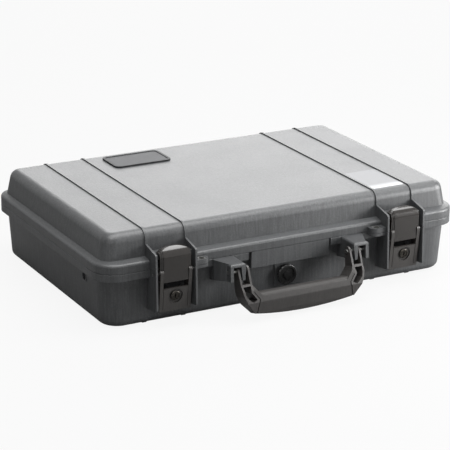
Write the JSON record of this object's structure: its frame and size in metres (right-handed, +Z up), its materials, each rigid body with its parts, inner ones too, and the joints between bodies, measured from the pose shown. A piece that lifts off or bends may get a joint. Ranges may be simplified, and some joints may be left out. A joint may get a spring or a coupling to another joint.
{
  "type": "laptop hard case",
  "caption": "Moulded hard case for a laptop with a ribbed hinged lid, two locking lever latches, a swinging forked handle, a pressure valve, padlock lugs and fitted foam.",
  "frame": {"origin": "centre of the bounding box's bottom face, on the floor below the middle of the case with its handle hanging", "axes": "+X to the right seen from the handle, +Y from the handle to the hinge, +Z up, opening upwards"},
  "size_m": [0.505, 0.383, 0.12],
  "materials": {
    "shell_plastic": "textured",
    "latch_plastic": "satin",
    "hook_plastic": "polished",
    "handle_plastic": "satin",
    "grip_rubber": "matte",
    "seal_rubber": "matte",
    "pin_steel": "brushed",
    "eye_steel": "stamped",
    "lock_metal": "blackened",
    "valve_plastic": "satin",
    "foam": "open cell",
    "nameplate_plastic": "satin",
    "inlay_plastic": "satin",
    "label_film": "clear film"
  },
  "bodies": {
    "base": {"base_shell": "shell_plastic", "base_foam": "foam", "valve_body": "valve_plastic", "valve_gasket": "seal_rubber", "valve_nut": "valve_plastic", "hinge_pin_left": "pin_steel", "latch_pin_left": "pin_steel", "handle_pin_left": "pin_steel", "base_padlock_eye_left": "eye_steel", "strap_socket_left": "valve_plastic", "hinge_pin_right": "pin_steel", "latch_pin_right": "pin_steel", "handle_pin_right": "pin_steel", "base_padlock_eye_right": "eye_steel", "strap_socket_right": "valve_plastic"},
    "lid": {"lid_shell": "shell_plastic", "lid_seal": "seal_rubber", "lid_foam": "foam", "nameplate_frame": "nameplate_plastic", "nameplate_inlay": "inlay_plastic", "label_film": "label_film", "lid_padlock_eye_left": "eye_steel", "lid_padlock_eye_right": "eye_steel"},
    "handle": {"handle_frame": "handle_plastic", "handle_grip": "grip_rubber"},
    "valve": {"valve_knob": "valve_plastic"},
    "left_lever": {"latch_lever_left": "latch_plastic", "hook_pin_left": "pin_steel", "lock_housing_left": "lock_metal", "lock_nut_left": "pin_steel"},
    "left_hook": {"latch_hook_left": "hook_plastic"},
    "left_lock": {"lock_barrel_left": "lock_metal", "lock_cam_left": "pin_steel"},
    "right_lever": {"latch_lever_right": "latch_plastic", "hook_pin_right": "pin_steel", "lock_housing_right": "lock_metal", "lock_nut_right": "pin_steel"},
    "right_hook": {"latch_hook_right": "hook_plastic"},
    "right_lock": {"lock_barrel_right": "lock_metal", "lock_cam_right": "pin_steel"}
  },
  "joints": [
    {"name": "lid_hinge", "type": "hinge", "parent": "base", "child": "lid", "pos_m": [0, 0.18596, 0.0735], "axis": [-1, 0, 0], "range_deg": [0, 105]},
    {"name": "handle_swing", "type": "hinge", "parent": "base", "child": "handle", "pos_m": [0, -0.16904, 0.0615], "axis": [-1, 0, 0], "range_deg": [0, 75]},
    {"name": "valve_turn", "type": "hinge", "parent": "base", "child": "valve", "pos_m": [0, -0.14504, 0.035], "axis": [0, -1, 0], "range_deg": [0, 180]},
    {"name": "left_lever_swing", "type": "hinge", "parent": "base", "child": "left_lever", "pos_m": [-0.16165, -0.15354, 0.069], "axis": [-1, 0, 0], "range_deg": [0, 95]},
    {"name": "left_hook_swing", "type": "hinge", "parent": "left_lever", "child": "left_hook", "pos_m": [-0.16165, -0.15809, 0.06084], "axis": [-1, 0, 0], "range_deg": [-119, 0]},
    {"name": "left_lock_turn", "type": "hinge", "parent": "left_lever", "child": "left_lock", "pos_m": [-0.16165, -0.15887, 0.04047], "axis": [0, -0.9956, -0.0941], "range_deg": [0, 90]},
    {"name": "right_lever_swing", "type": "hinge", "parent": "base", "child": "right_lever", "pos_m": [0.16165, -0.15354, 0.069], "axis": [-1, 0, 0], "range_deg": [0, 95]},
    {"name": "right_hook_swing", "type": "hinge", "parent": "right_lever", "child": "right_hook", "pos_m": [0.16165, -0.15809, 0.06084], "axis": [-1, 0, 0], "range_deg": [-119, 0]},
    {"name": "right_lock_turn", "type": "hinge", "parent": "right_lever", "child": "right_lock", "pos_m": [0.16165, -0.15887, 0.04047], "axis": [0, -0.9956, -0.0941], "range_deg": [0, 90]}
  ],
  "couplings": [
    {"joint": "left_hook_swing", "follows": "left_lever_swing", "ratio": -1.25},
    {"joint": "right_hook_swing", "follows": "right_lever_swing", "ratio": -1.25}
  ]
}
